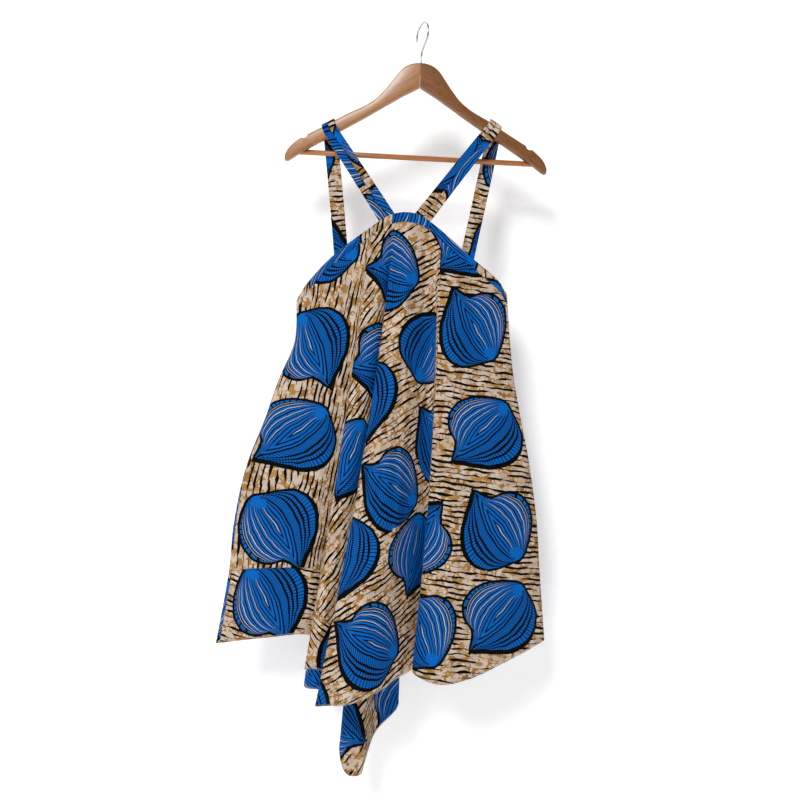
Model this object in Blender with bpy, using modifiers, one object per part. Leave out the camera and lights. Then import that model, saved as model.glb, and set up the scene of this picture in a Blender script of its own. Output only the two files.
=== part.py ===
"""A strappy wax print dress with a handkerchief hem, hanging from a wooden hanger.

Front and back are flared panels cut from quarter circles. Each hangs from its top edge in folds that open
towards the hem. The frame: Z up, the front faces -Y, and the origin is where a rail bears on the hook.
Sizes and tables are in millimetres and become metres when a mesh is made.
"""

import math
from collections import namedtuple

import bmesh
import bpy
from mathutils import Vector

MM = 0.001
GAP = 0.3  # left between neighbouring pieces
SEAM_GAP = 1.2  # along the pieced strip, whose seam crosses bent folds

# Cloth
CLOTH = 1.5  # wall of a panel
BINDING_CLOTH = 1.0
BINDING_WIDTH = 15.0
STRAP_CLOTH = 2.0  # folded tape, four layers
STRAP_WIDTH = 24.0
FOLD_START = 0.03  # share of the way down that the top edge's binding keeps flat
FOLD_OPENING = 0.9  # below 1, the folds open early on their way down
SIDE_SEAM = CLOTH / 2 + GAP / 2  # of each panel's middle from the plane of the side seams

# Hanger
HANGER_WIDTH = 446.0
ARM_THICKNESS = 14.5
ARM_ROUNDING = 4.2
CENTRE_FRONT = -18.0  # Y of the front face at the centre
TIP_FRONT = 9.0  # Y of the front face at the tips, which sweep back
SWEEP_POWER = 1.35
BAR_DIAMETER = 9.0
BAR_HEIGHT = -217.4
BAR_HALF_LENGTH = 211.0
BAR_BACK = TIP_FRONT + ARM_THICKNESS / 2

# Hook
WIRE_DIAMETER = 3.4
HOOK_RADIUS = 21.0
HOOK_TURN = math.radians(-64)
STEM_FOOT = -88.0
STEM_BEND = -56.0
HOOK_LOW_ANGLE = math.radians(-50)
HOOK_END_ANGLE = math.radians(186)

# A top edge is a row of places along it, seen from the front.
Edge = namedtuple("Edge", "place x y z")
FRONT_EDGE = [
    Edge("left underarm", -188, -SIDE_SEAM, -473),
    Edge("left armhole, low", -172, -6, -446),
    Edge("left armhole", -134, -10, -401),
    Edge("left armhole, high", -79, -13, -354),
    Edge("neck, left", -34, -14, -323),
    Edge("neck, right", 6, -14, -320),
    Edge("right armhole, high", 40, -13, -339),
    Edge("right armhole", 96, -10, -383),
    Edge("right armhole, low", 150, -5, -424),
    Edge("right underarm", 166, -SIDE_SEAM, -446),
]
BACK_EDGE = [
    Edge("left underarm", -188, SIDE_SEAM, -473),
    Edge("left armhole, low", -165, 6, -458),
    Edge("left strap", -119, 9, -442),
    Edge("centre", -12, 10, -446),
    Edge("right strap", 97, 9, -430),
    Edge("right armhole, low", 148, 6, -434),
    Edge("right underarm", 166, SIDE_SEAM, -446),
]

# A panel hangs in folds. top is X on the top edge; x, y, z is the hem; bow moves the middle sideways;
# band is the height of the pieced strip along the hem.
Fold = namedtuple("Fold", "line top x y z bow band")
FRONT_FOLDS = [
    Fold("left side seam", -188, -287, -SIDE_SEAM, -1058, 0, 125),
    Fold("left flat, outer", -168, -252, -13, -1048, 0, 122),
    Fold("left flat, middle", -138, -199, -19, -1038, 0, 117),
    Fold("left flat, inner", -106, -146, -16, -1031, 0, 111),
    Fold("first valley, in", -86, -108, -3, -1042, 2, 106),
    Fold("first valley, out", -76, -104, -15, -1056, 2, 99),
    Fold("narrow fold, left", -66, -138, -31, -1082, 4, 92),
    Fold("narrow fold, front", -52, -123, -46, -1078, 6, 86),
    Fold("narrow fold, right", -40, -107, -40, -1083, 6, 76),
    Fold("second valley, in", -34, -52, -12, -1098, 0, 52),
    Fold("second valley, out", -30, -48, -27, -1110, 2, 38),
    Fold("cone, left", -26, -114, -56, -1133, 10, 0),
    Fold("cone, left front", -22, -92, -80, -1125, 10, 0),
    Fold("cone, front", -15, -66, -94, -1118, 8, 0),
    Fold("cone, right front", -6, -40, -89, -1110, 6, 0),
    Fold("cone, right", 5, -14, -72, -1101, 4, 0),
    Fold("cone, turned away", 18, 16, -40, -1088, 2, 0),
    Fold("third valley, in", 30, 56, -7, -1074, 0, 0),
    Fold("third valley, out", 40, 62, -21, -1072, 3, 0),
    Fold("right panel, left", 51, 39, -47, -1075, 9, 0),
    Fold("right panel, crown", 70, 82, -63, -1088, 4, 0),
    Fold("right panel, middle", 96, 133, -58, -1077, 0, 0),
    Fold("right panel, outer", 124, 182, -44, -1056, 0, 0),
    Fold("right side, inner", 148, 226, -25, -1037, 0, 0),
    Fold("right side seam", 166, 260, -SIDE_SEAM, -1024, 0, 0),
]
BACK_FOLDS = [
    Fold("left side seam", -188, -287, SIDE_SEAM, -1058, 0, 0),
    Fold("left roll", -184, -293, 9, -1060, 0, 0),
    Fold("left flat", -166, -257, 24, -1054, 0, 0),
    Fold("left flare", -146, -212, 46, -1042, 0, 0),
    Fold("left dip", -126, -172, 36, -1030, 0, 0),
    Fold("under fold, in", -108, -122, 44, -1052, 0, 0),
    Fold("under fold, behind", -96, -110, 36, -1088, 0, 0),
    Fold("under fold, left edge", -86, -143, 21, -1127, 0, 0),
    Fold("under fold, front", -76, -118, 12, -1131, 0, 0),
    Fold("inner valley", -66, -94, 34, -1130, 0, 0),
    Fold("behind the tail, in", -56, -62, 54, -1140, 0, 0),
    Fold("behind the tail, out", -50, -60, 42, -1168, 0, 0),
    Fold("tail, left edge", -44, -77, 27, -1232, 0, 0),
    Fold("tail, corner left", -36, -64, 15, -1272, 0, 0),
    Fold("tail, corner right", -26, -39, 17, -1275, 0, 0),
    Fold("tail, valley", -18, -32, 28, -1256, 0, 0),
    Fold("tail, right", -8, -16, 35, -1206, 0, 0),
    Fold("tail, right slope", 8, 19, 38, -1156, 0, 0),
    Fold("right of the tail", 32, 50, 58, -1117, 0, 0),
    Fold("right flare", 62, 102, 70, -1092, 0, 0),
    Fold("right dip", 92, 152, 36, -1068, 0, 0),
    Fold("right flat", 124, 208, 28, -1046, 0, 0),
    Fold("right roll", 160, 253, 10, -1030, 0, 0),
    Fold("right side seam", 166, 260, SIDE_SEAM, -1024, 0, 0),
]

# How far the two sides stand out from a straight line, by the share of the way down.
Swell = namedtuple("Swell", "down left right")
SIDE_SWELL = [
    Swell(0.0, 0, 0),
    Swell(0.12, 12, -3),
    Swell(0.23, 0, -4),
    Swell(0.34, -7, 0),
    Swell(0.49, -20, 7),
    Swell(0.65, -18, 9),
    Swell(0.79, -7, 5),
    Swell(1.0, 0, 0),
]
SWELL_REACH = 75.0  # at the hem, how far in from a side the swell is felt

# The arm's outline from the centre to the tip, and its pieces of a strap's route.
Station = namedtuple("Station", "x top bottom")
ARM_STATIONS = [
    Station(GAP / 2, -66.5, -107),
    Station(9, -67.2, -112),
    Station(20, -70.5, -118),
    Station(31, -78, -124),
    Station(42, -92, -131),
    Station(54, -108, -138),
    Station(70, -126, -148),
    Station(90, -140, -160),
    Station(120, -154.5, -177),
    Station(150, -171, -194),
    Station(175, -184, -208),
    Station(197, -195.5, -220.5),
    Station(211, -206, -229.5),
    Station(219, -215, -234),
    Station(HANGER_WIDTH / 2, -224, -233),
]
NOTCH_X, NOTCH_Z, NOTCH_RADIUS = 192.0, -190.5, 6.5

# A strap's route: its middle, and in degrees how far its width leans from level, seen from the front,
# and turns with the sweep of the arm, seen from above.
Stop = namedtuple("Stop", "place x y z lean turn")
LEFT_STRAP = [
    Stop("behind the neck edge", -37.5, -11.4, -336, 35.8, 0),
    Stop("at the neck edge", -43.5, -11.6, -327, 35.8, 0),
    Stop("halfway", -98, -9.4, -251, 35.8, -3),
    Stop("below the arm", -137, -6.6, -197, 34, -8),
    Stop("front of the arm", -148, -4.6, -180, 31, -9),
    Stop("front of the top", -151.5, -2.4, -170.6, 29.5, -9),
    Stop("over the top", -151.5, 5, -167.9, 29.5, -9),
    Stop("back of the top", -150.5, 13.4, -170.8, 27, -9),
    Stop("back of the arm", -148, 16.4, -184, 18, -8),
    Stop("behind the bar", -143.5, 22.8, -216, 8.4, 0),
    Stop("halfway down", -131, 18, -300, 8.4, 0),
    Stop("at the back edge", -114.5, 7.4, -418, 8.4, 0),
    Stop("inside the back edge", -112, 5.4, -456, 8.4, 0),
]
RIGHT_STRAP = [
    Stop("behind the neck edge", 9.5, -11.4, -334, -35.0, 0),
    Stop("at the neck edge", 16, -11.6, -325, -35.0, 0),
    Stop("halfway", 72, -9.8, -245, -35.0, 3),
    Stop("below the arm", 115, -8.4, -184, -34, 7),
    Stop("front of the arm", 127, -7, -168, -32, 8),
    Stop("front of the top", 131.5, -4.8, -158.2, -29, 8),
    Stop("over the top", 132, 2.6, -155.4, -29, 8),
    Stop("back of the top", 131.5, 11, -158.2, -27, 8),
    Stop("back of the arm", 130, 14.4, -172, -18, 8),
    Stop("behind the bar", 124.5, 22.8, -214, -9.5, 0),
    Stop("halfway down", 112, 18, -290, -9.5, 0),
    Stop("at the back edge", 93, 7.4, -405, -9.5, 0),
    Stop("inside the back edge", 89.5, 5.4, -444, -9.5, 0),
]

FRONT_ROWS, BACK_ROWS, BAND_ROWS = 13, 10, 3
STEPS_PER_FOLD = 3  # columns of the mesh from one line of a fold to the next
STRAP_STEPS = 3
RING_STEPS = 3  # points on each rounded corner of an arm


def cubic(keys, values, at):
    """The value at a key on a smooth curve through the values, which are numbers or vectors."""
    i = 0
    while i < len(keys) - 2 and at > keys[i + 1]:
        i += 1
    span = keys[i + 1] - keys[i]
    u = (at - keys[i]) / span

    def slope(k):
        low, high = max(k - 1, 0), min(k + 1, len(keys) - 1)
        return (values[high] - values[low]) / (keys[high] - keys[low]) * span

    return (
        values[i] * (2 * u**3 - 3 * u**2 + 1)
        + slope(i) * (u**3 - 2 * u**2 + u)
        + values[i + 1] * (3 * u**2 - 2 * u**3)
        + slope(i + 1) * (u**3 - u**2)
    )


def edge_point(edge, x):
    keys = [e.x for e in edge]
    return Vector((x, cubic(keys, [e.y for e in edge], x), cubic(keys, [e.z for e in edge], x)))


def side_swell(down, hem_x, left_x, right_x):
    keys = [s.down for s in SIDE_SWELL]
    left = cubic(keys, [s.left for s in SIDE_SWELL], down)
    right = cubic(keys, [s.right for s in SIDE_SWELL], down)
    near_left = max(0.0, 1 - (hem_x - left_x) / SWELL_REACH)
    near_right = max(0.0, 1 - (right_x - hem_x) / SWELL_REACH)
    return left * min(near_left, 1) + right * min(near_right, 1)


class Column:
    """One line of a panel from its top edge to its hem, at a place among the folds."""

    def __init__(self, folds, edge, place):
        keys = list(range(len(folds)))
        self.top = edge_point(edge, cubic(keys, [f.top for f in folds], place))
        self.hem = Vector(cubic(keys, [Vector((f.x, f.y, f.z)) for f in folds], place))
        self.bow = cubic(keys, [f.bow for f in folds], place)
        self.band = max(0.0, cubic(keys, [f.band for f in folds], place))
        self.sides = folds[0].x, folds[-1].x

    def length(self):
        return (self.hem - self.top).length

    def at(self, down):
        point = self.top.lerp(self.hem, down)
        point.x += self.bow * math.sin(math.pi * down)
        point.x += side_swell(down, self.hem.x, *self.sides)
        opened = max(0.0, (down - FOLD_START) / (1 - FOLD_START)) ** FOLD_OPENING
        point.y = self.top.y + (self.hem.y - self.top.y) * opened
        return point


def rows_down(count):
    """Shares of the way down: the top edge, the end of its flat stretch, then even steps to the hem."""
    return [0.0] + [FOLD_START + (1 - FOLD_START) * i / (count - 1) for i in range(count)]


def columns(folds, edge, first=0, last=None):
    last = len(folds) - 1 if last is None else last
    count = round((last - first) * STEPS_PER_FOLD)
    return [Column(folds, edge, first + (last - first) * i / count) for i in range(count + 1)]


def clear_scene():
    for thing in list(bpy.data.objects):
        bpy.data.objects.remove(thing, do_unlink=True)


def collection(name):
    made = bpy.data.collections.new(name)
    bpy.context.scene.collection.children.link(made)
    return made


def material(name, colour, roughness, metallic=0.0):
    made = bpy.data.materials.new(name)
    made.use_nodes = True
    shader = made.node_tree.nodes["Principled BSDF"]
    shader.inputs["Base Color"].default_value = (*colour, 1)
    shader.inputs["Roughness"].default_value = roughness
    shader.inputs["Metallic"].default_value = metallic
    return made


def add(name, mesh, finish, where):
    thing = bpy.data.objects.new(name, mesh)
    mesh.materials.append(finish)
    where.objects.link(thing)
    return thing


def grid_mesh(name, rows, closed=False, capped=False):
    """A mesh of quads on rows of points in millimetres; closed joins each row's ends, capped fills both ends."""
    mesh = bpy.data.meshes.new(name)
    shape = bmesh.new()
    made = [[shape.verts.new(point * MM) for point in row] for row in rows]
    width = len(rows[0])
    for upper, lower in zip(made, made[1:]):
        for i in range(width if closed else width - 1):
            j = (i + 1) % width
            shape.faces.new((upper[i], lower[i], lower[j], upper[j]))
    if capped:
        shape.faces.new(made[0])
        shape.faces.new(reversed(made[-1]))
    bmesh.ops.recalc_face_normals(shape, faces=shape.faces)
    shape.to_mesh(mesh)
    shape.free()
    mesh.shade_smooth()
    return mesh


def cloth(name, rows, thickness, finish, where):
    """A sheet of cloth, half its wall on each side of the points."""
    thing = add(name, grid_mesh(name, rows), finish, where)
    wall = thing.modifiers.new("wall", "SOLIDIFY")
    wall.thickness = thickness * MM
    wall.offset = 0
    return thing


def front_panel(finish, where):
    lines = columns(FRONT_FOLDS, FRONT_EDGE)
    rows = []
    for down in rows_down(FRONT_ROWS):
        points = []
        for line in lines:
            seam = line.band + SEAM_GAP if line.band > BAND_LEAST else line.band
            points.append(line.at(down if down <= FOLD_START else down * (1 - seam / line.length())))
        rows.append(points)
    return cloth("front_panel", rows, CLOTH, finish, where)


BAND_LEAST = 8.0  # below this height the pieced strip ends


def front_hem_band(finish, where):
    lines = [line for line in columns(FRONT_FOLDS, FRONT_EDGE) if line.band > BAND_LEAST]
    rows = []
    for row in range(BAND_ROWS + 1):
        left = 1 - row / BAND_ROWS
        rows.append([line.at(1 - left * line.band / line.length()) for line in lines])
    return cloth("front_hem_band", rows, CLOTH, finish, where)


def back_panel(finish, where):
    lines = columns(BACK_FOLDS, BACK_EDGE)
    rows = [[line.at(down) for line in lines] for down in rows_down(BACK_ROWS)]
    return cloth("back_panel", rows, CLOTH, finish, where)


def binding(name, folds, edge, first, last, outward, finish, where):
    """A folded strip along a stretch of a top edge, on the panel's outer face."""
    lift = Vector((0, outward * (CLOTH / 2 + GAP + BINDING_CLOTH / 2), 0))
    lines = columns(folds, edge, first, last)
    rows = []
    for share in (0.0, 1.0):
        rows.append([line.at(share * BINDING_WIDTH / line.length()) + lift for line in lines])
    return cloth(name, rows, BINDING_CLOTH, finish, where)


def strap(name, stops, finish, where):
    """A flat tape along its route, sewn to the front neck, over an arm, and to the back."""
    keys = list(range(len(stops)))
    middles = [Vector((s.x, s.y, s.z)) for s in stops]
    rows = []
    for step in range((len(stops) - 1) * STRAP_STEPS + 1):
        place = step / STRAP_STEPS
        middle = cubic(keys, middles, place)
        lean = math.radians(cubic(keys, [s.lean for s in stops], place))
        turn = math.radians(cubic(keys, [s.turn for s in stops], place))
        level = Vector((math.cos(turn), math.sin(turn), 0)) * math.cos(lean)
        across = (level + Vector((0, 0, math.sin(lean)))) * STRAP_WIDTH / 2
        rows.append([middle - across, middle, middle + across])
    return cloth(name, rows, STRAP_CLOTH, finish, where)


def arm_front(x):
    return CENTRE_FRONT + (TIP_FRONT - CENTRE_FRONT) * (abs(x) / (HANGER_WIDTH / 2)) ** SWEEP_POWER


def arm_ring(station, side):
    """A rounded rectangle across an arm."""
    rounding = min(ARM_ROUNDING, (station.top - station.bottom) / 2.4)
    back, front = arm_front(station.x) + ARM_THICKNESS, arm_front(station.x)
    corners = [
        (back - rounding, station.top - rounding, 0),
        (front + rounding, station.top - rounding, 90),
        (front + rounding, station.bottom + rounding, 180),
        (back - rounding, station.bottom + rounding, 270),
    ]
    ring = []
    for y, z, start in corners:
        for step in range(RING_STEPS + 1):
            angle = math.radians(start + 90 * step / RING_STEPS)
            out = y + rounding * math.cos(angle), z + rounding * math.sin(angle)
            ring.append(Vector((side * station.x, *out)))
    return ring


def cylinder(name, diameter, start, end, finish, where, sides=32):
    """A cylinder between two points in millimetres."""
    start, end = Vector(start), Vector(end)
    bpy.ops.mesh.primitive_cylinder_add(
        vertices=sides, radius=diameter / 2 * MM, depth=(end - start).length * MM
    )
    thing = bpy.context.object
    thing.name = thing.data.name = name
    thing.location = (start + end) / 2 * MM
    thing.rotation_euler = (end - start).to_track_quat("Z", "Y").to_euler()
    thing.data.shade_smooth()
    thing.data.set_sharp_from_angle(angle=math.radians(40))
    if finish:
        thing.data.materials.append(finish)
    for old in thing.users_collection:
        old.objects.unlink(thing)
    where.objects.link(thing)
    return thing


def cut(thing, cutter):
    cutter.hide_render = True
    cutter.display_type = "WIRE"
    hole = thing.modifiers.new(cutter.name, "BOOLEAN")
    hole.operation = "DIFFERENCE"
    hole.object = cutter


def hanger_arm(name, side, finish, where, cutters):
    rings = [arm_ring(station, side) for station in ARM_STATIONS]
    arm = add(name, grid_mesh(name, rings, closed=True, capped=True), finish, where)
    arm.data.set_sharp_from_angle(angle=math.radians(50))
    middle = BAR_BACK
    cut(arm, cylinder(
        name + "_notch_cutter", 2 * NOTCH_RADIUS,
        (side * NOTCH_X, middle - 40, NOTCH_Z), (side * NOTCH_X, middle + 40, NOTCH_Z), None, cutters,
    ))
    cut(arm, cylinder(
        name + "_bar_cutter", BAR_DIAMETER + 2 * GAP,
        (side * 150, middle, BAR_HEIGHT), (side * (BAR_HALF_LENGTH + GAP), middle, BAR_HEIGHT), None, cutters,
    ))
    stem_y = CENTRE_FRONT + ARM_THICKNESS / 2
    cut(arm, cylinder(
        name + "_stem_cutter", WIRE_DIAMETER + 2 * GAP,
        (0, stem_y, STEM_FOOT - GAP), (0, stem_y, -50), None, cutters, sides=16,
    ))
    return arm


def hook(finish, where):
    """A bent wire: a stem, an easy bend to one side, then most of a circle over the rail."""
    centre = -HOOK_RADIUS + WIRE_DIAMETER / 2
    low = Vector((HOOK_RADIUS * math.cos(HOOK_LOW_ANGLE), centre + HOOK_RADIUS * math.sin(HOOK_LOW_ANGLE)))
    way = Vector((-math.sin(HOOK_LOW_ANGLE), math.cos(HOOK_LOW_ANGLE)))
    route = [Vector((0, STEM_FOOT)), Vector((0, (STEM_FOOT + STEM_BEND) / 2))]
    bend = [Vector((0, STEM_BEND)), Vector((0, STEM_BEND + 9)), low - way * 9, low]
    for step in range(7):
        u = step / 7
        weights = ((1 - u) ** 3, 3 * u * (1 - u) ** 2, 3 * u * u * (1 - u), u**3)
        route.append(sum((w * p for w, p in zip(weights, bend)), Vector((0, 0))))
    for step in range(25):
        angle = HOOK_LOW_ANGLE + (HOOK_END_ANGLE - HOOK_LOW_ANGLE) * step / 24
        route.append(Vector((HOOK_RADIUS * math.cos(angle), centre + HOOK_RADIUS * math.sin(angle))))
    stem_y = CENTRE_FRONT + ARM_THICKNESS / 2
    curve = bpy.data.curves.new("hook", "CURVE")
    curve.dimensions = "3D"
    curve.bevel_depth = WIRE_DIAMETER / 2 * MM
    curve.bevel_resolution = 2
    curve.use_fill_caps = True
    line = curve.splines.new("POLY")
    line.points.add(len(route) - 1)
    for point, (out, up) in zip(line.points, route):
        place = Vector((out * math.cos(HOOK_TURN), stem_y + out * math.sin(HOOK_TURN), up)) * MM
        point.co = (*place, 1)
    return add("hook", curve, finish, where)


def build():
    clear_scene()
    dress = collection("wax_print_dress_on_hanger")
    cutters = collection("cutters")
    wax_print = material("wax print cotton", (0.25, 0.27, 0.42), 0.85)
    bias = material("wax print binding", (0.12, 0.22, 0.5), 0.85)
    tape = material("wax print strap", (0.1, 0.24, 0.6), 0.85)
    light_wood = material("lacquered beech, left arm", (0.58, 0.28, 0.09), 0.35)
    dark_wood = material("lacquered beech, right arm", (0.42, 0.17, 0.05), 0.35)
    bar_wood = material("lacquered dowel", (0.5, 0.2, 0.05), 0.35)
    steel = material("plated steel wire", (0.6, 0.6, 0.6), 0.25, metallic=1.0)

    front_panel(wax_print, dress)
    front_hem_band(wax_print, dress)
    back_panel(wax_print, dress)
    neck_left, neck_right = 9.0, 17.0
    last = len(FRONT_FOLDS) - 1
    clear = 0.04  # of a fold, between neighbouring bindings
    binding("left_armhole_binding", FRONT_FOLDS, FRONT_EDGE, 0, neck_left - clear, -1, bias, dress)
    binding("neck_binding", FRONT_FOLDS, FRONT_EDGE, neck_left + clear, neck_right - clear, -1, bias, dress)
    binding("right_armhole_binding", FRONT_FOLDS, FRONT_EDGE, neck_right + clear, last, -1, bias, dress)
    binding("back_binding", BACK_FOLDS, BACK_EDGE, 0, len(BACK_FOLDS) - 1, 1, bias, dress)
    strap("left_strap", LEFT_STRAP, tape, dress)
    strap("right_strap", RIGHT_STRAP, tape, dress)

    hanger_arm("hanger_arm_left", -1, light_wood, dress, cutters)
    hanger_arm("hanger_arm_right", 1, dark_wood, dress, cutters)
    bar_ends = [(-BAR_HALF_LENGTH, BAR_BACK, BAR_HEIGHT), (BAR_HALF_LENGTH, BAR_BACK, BAR_HEIGHT)]
    cylinder("trouser_bar", BAR_DIAMETER, *bar_ends, bar_wood, dress)
    hook(steel, dress)


build()
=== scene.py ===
"""A strappy wax print dress on its wooden hanger: the looks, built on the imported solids.

Sizes are millimetres in the tables and become metres when a mesh is made.
"""

import math
from collections import namedtuple

import bmesh
import bpy
from mathutils import Matrix, Vector


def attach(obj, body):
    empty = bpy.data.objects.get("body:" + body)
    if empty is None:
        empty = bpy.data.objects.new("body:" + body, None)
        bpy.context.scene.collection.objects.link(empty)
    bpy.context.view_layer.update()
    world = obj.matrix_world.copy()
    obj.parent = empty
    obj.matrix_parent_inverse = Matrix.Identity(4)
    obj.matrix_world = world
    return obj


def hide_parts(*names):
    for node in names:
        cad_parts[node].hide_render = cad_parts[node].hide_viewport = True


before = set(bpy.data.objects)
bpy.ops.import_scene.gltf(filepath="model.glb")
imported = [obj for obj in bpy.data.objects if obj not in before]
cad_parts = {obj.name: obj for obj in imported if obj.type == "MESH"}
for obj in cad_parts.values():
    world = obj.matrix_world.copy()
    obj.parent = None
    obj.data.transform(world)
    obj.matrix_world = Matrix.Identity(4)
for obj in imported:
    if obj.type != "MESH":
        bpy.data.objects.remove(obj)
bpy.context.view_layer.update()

MM = 0.001

# --------------------------------------------------
# Hook: 3.4 mm steel wire, bent cold and bright zinc plated, screwed into the mitre of the two arms.
# The plate is smooth, with faint drawing lines along the wire.

WIRE_DIAMETER = 3.4
HOOK_RADIUS = 21.0
HOOK_TURN = math.radians(-64)
HOOK_LOW_ANGLE = math.radians(-50)
HOOK_END_ANGLE = math.radians(186)
STEM_FOOT = -84.0
STEM_BEND = -56.0
ARM_THICKNESS = 14.5
CENTRE_FRONT = -18.0
STEM_Y = CENTRE_FRONT + ARM_THICKNESS / 2
BEND_HANDLE, BEND_STEPS, TURN_STEPS = 9.0, 14, 60
CAP_REACH, CAP_WIDTH = 0.6, 0.5  # a wire's rounded end, in radii
ASKEW = Vector((0.31, 0.85, 0.12))  # a direction that no wire runs along


def linear(hex_colour, alpha=1.0):
    """A linear colour from an sRGB hex value such as "C08A50"."""
    parts = [int(hex_colour[i : i + 2], 16) / 255 for i in (0, 2, 4)]
    return (*[c / 12.92 if c < 0.04045 else ((c + 0.055) / 1.055) ** 2.4 for c in parts], alpha)


def put(tree, kind, links=None, output=0, **settings):
    """Adds a shader node with its settings, links or values its inputs, and returns one output."""
    made = tree.nodes.new("ShaderNode" + kind)
    for name, value in settings.items():
        setattr(made, name, value)
    for socket, source in (links or {}).items():
        if isinstance(source, bpy.types.NodeSocket):
            tree.links.new(source, made.inputs[socket])
        else:
            made.inputs[socket].default_value = source
    return made.outputs[output]


def new_material(name, **values):
    """A material with one Principled shader, whose constant values are set on its own sockets."""
    made = bpy.data.materials.new(name)
    made.use_nodes = True
    shader = made.node_tree.nodes["Principled BSDF"]
    for socket, value in values.items():
        shader.inputs[socket.replace("_", " ")].default_value = value
    return made, made.node_tree, shader


def feed(shader, **sources):
    """Links outputs to a shader's sockets."""
    for socket, source in sources.items():
        shader.id_data.links.new(source, shader.inputs[socket.replace("_", " ")])


def ramp(tree, source, stops, interpolation="LINEAR"):
    """Colours along a value: each stop is a place and a colour."""
    output = put(tree, "ValToRGB", {0: source})
    band = output.node.color_ramp
    band.interpolation = interpolation
    band.elements[0].position, band.elements[0].color = stops[0]
    band.elements.remove(band.elements[1])
    for place, colour in stops[1:]:
        band.elements.new(place).color = colour
    return output


def noise(tree, place, scale, detail):
    return put(tree, "TexNoise", {"Vector": place, "Scale": scale, "Detail": detail})


def link_piece(name, mesh, finish, slot, *nodes):
    """Makes a piece of the root body that stands for the given solids."""
    mesh.materials.append(finish)
    piece = bpy.data.objects.new(name, mesh)
    bpy.context.scene.collection.objects.link(piece)
    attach(piece, "root")
    if nodes:
        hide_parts(*nodes)
    return piece


def grid_mesh(name, rows, closed=False, capped=False):
    """A smooth mesh of quads on rows of points in millimetres."""
    mesh = bpy.data.meshes.new(name)
    width, count = len(rows[0]), len(rows)
    faces = []
    for r in range(count - 1):
        for i in range(width if closed else width - 1):
            j = (i + 1) % width
            faces.append((r * width + i, r * width + width + i, r * width + width + j, r * width + j))
    if capped:
        faces.append(tuple(range(width)))
        faces.append(tuple(reversed(range((count - 1) * width, count * width))))
    mesh.from_pydata([tuple(point * MM) for row in rows for point in row], [], faces)
    if closed:
        shape = bmesh.new()
        shape.from_mesh(mesh)
        bmesh.ops.recalc_face_normals(shape, faces=shape.faces)
        shape.to_mesh(mesh)
        shape.free()
    mesh.shade_smooth()
    return mesh


def tube(name, route, radius, sides=12):
    """A round wire through points, with rounded ends."""
    rows = []
    last = len(route) - 1
    turns = [math.tau * k / sides for k in range(sides)]
    for i, point in enumerate(route):
        ahead = (route[min(i + 1, last)] - route[max(i - 1, 0)]).normalized()
        side = ahead.cross(ASKEW).normalized()
        up = side.cross(ahead)
        ways = [side * math.cos(t) + up * math.sin(t) for t in turns]
        if i == 0:
            rows.append([point - ahead * radius * CAP_REACH + way * radius * CAP_WIDTH for way in ways])
        rows.append([point + way * radius for way in ways])
        if i == last:
            rows.append([point + ahead * radius * CAP_REACH + way * radius * CAP_WIDTH for way in ways])
    return grid_mesh(name, rows, closed=True, capped=True)


def hook_route():
    """Up the stem, round a smooth bend and over the crook."""
    centre = -HOOK_RADIUS + WIRE_DIAMETER / 2
    low = Vector((HOOK_RADIUS * math.cos(HOOK_LOW_ANGLE), centre + HOOK_RADIUS * math.sin(HOOK_LOW_ANGLE)))
    way = Vector((-math.sin(HOOK_LOW_ANGLE), math.cos(HOOK_LOW_ANGLE)))
    flat = [Vector((0, STEM_FOOT)), Vector((0, (STEM_FOOT + STEM_BEND) / 2))]
    bend = [Vector((0, STEM_BEND)), Vector((0, STEM_BEND + BEND_HANDLE)), low - way * BEND_HANDLE, low]
    for step in range(BEND_STEPS):
        u = step / BEND_STEPS
        weights = ((1 - u) ** 3, 3 * u * (1 - u) ** 2, 3 * u * u * (1 - u), u**3)
        flat.append(sum((w * p for w, p in zip(weights, bend)), Vector((0, 0))))
    for step in range(TURN_STEPS + 1):
        angle = HOOK_LOW_ANGLE + (HOOK_END_ANGLE - HOOK_LOW_ANGLE) * step / TURN_STEPS
        flat.append(Vector((HOOK_RADIUS * math.cos(angle), centre + HOOK_RADIUS * math.sin(angle))))
    return [Vector((p.x * math.cos(HOOK_TURN), STEM_Y + p.x * math.sin(HOOK_TURN), p.y)) for p in flat]


def zinc_plated_wire():
    finish, tree, shader = new_material("bright zinc plated steel wire", Metallic=1.0)
    place = put(tree, "TexCoord", output=3)
    drawn = put(tree, "Mapping", {0: place, 3: (900, 900, 60)})
    lines = noise(tree, drawn, 1.0, 3.0)
    tone = ramp(tree, lines, [(0.35, linear("B5B2AE")), (0.65, linear("D8D6D2"))])
    feed(shader, Base_Color=tone)
    rough = put(tree, "MapRange", {"Value": lines, 3: 0.18, 4: 0.34})
    feed(shader, Roughness=rough)
    return finish


hook_mesh = tube("hook_wire", hook_route(), WIRE_DIAMETER / 2)
link_piece("hook_wire", hook_mesh, zinc_plated_wire(), "hook_steel", "hook")

# --------------------------------------------------
# Arms: two shaped beech arms, spindle moulded, mitred and glued at the centre, sanded and lacquered.
# Both arms are the same beech: the left arm's colours are painted lighter as painted light, and the right
# arm's darker as painted shade, because light falls from the left. Long grain runs along each arm.

HANGER_WIDTH = 446.0
ARM_ROUNDING = 4.2
TIP_FRONT = 9.0
SWEEP_POWER = 1.35
NOTCH_X, NOTCH_Z, NOTCH_RADIUS = 192.0, -190.5, 6.5
BAR_DIAMETER, BAR_HEIGHT, BAR_HALF_LENGTH = 9.0, -217.4, 211.0
BAR_BACK = TIP_FRONT + ARM_THICKNESS / 2
MITRE_GAP = 0.15
HOLE_PLAY = 0.3
ARM_STEPS = 112
LEAST_HEIGHT = 2.4  # of an arm, in its edges' roundings

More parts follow.
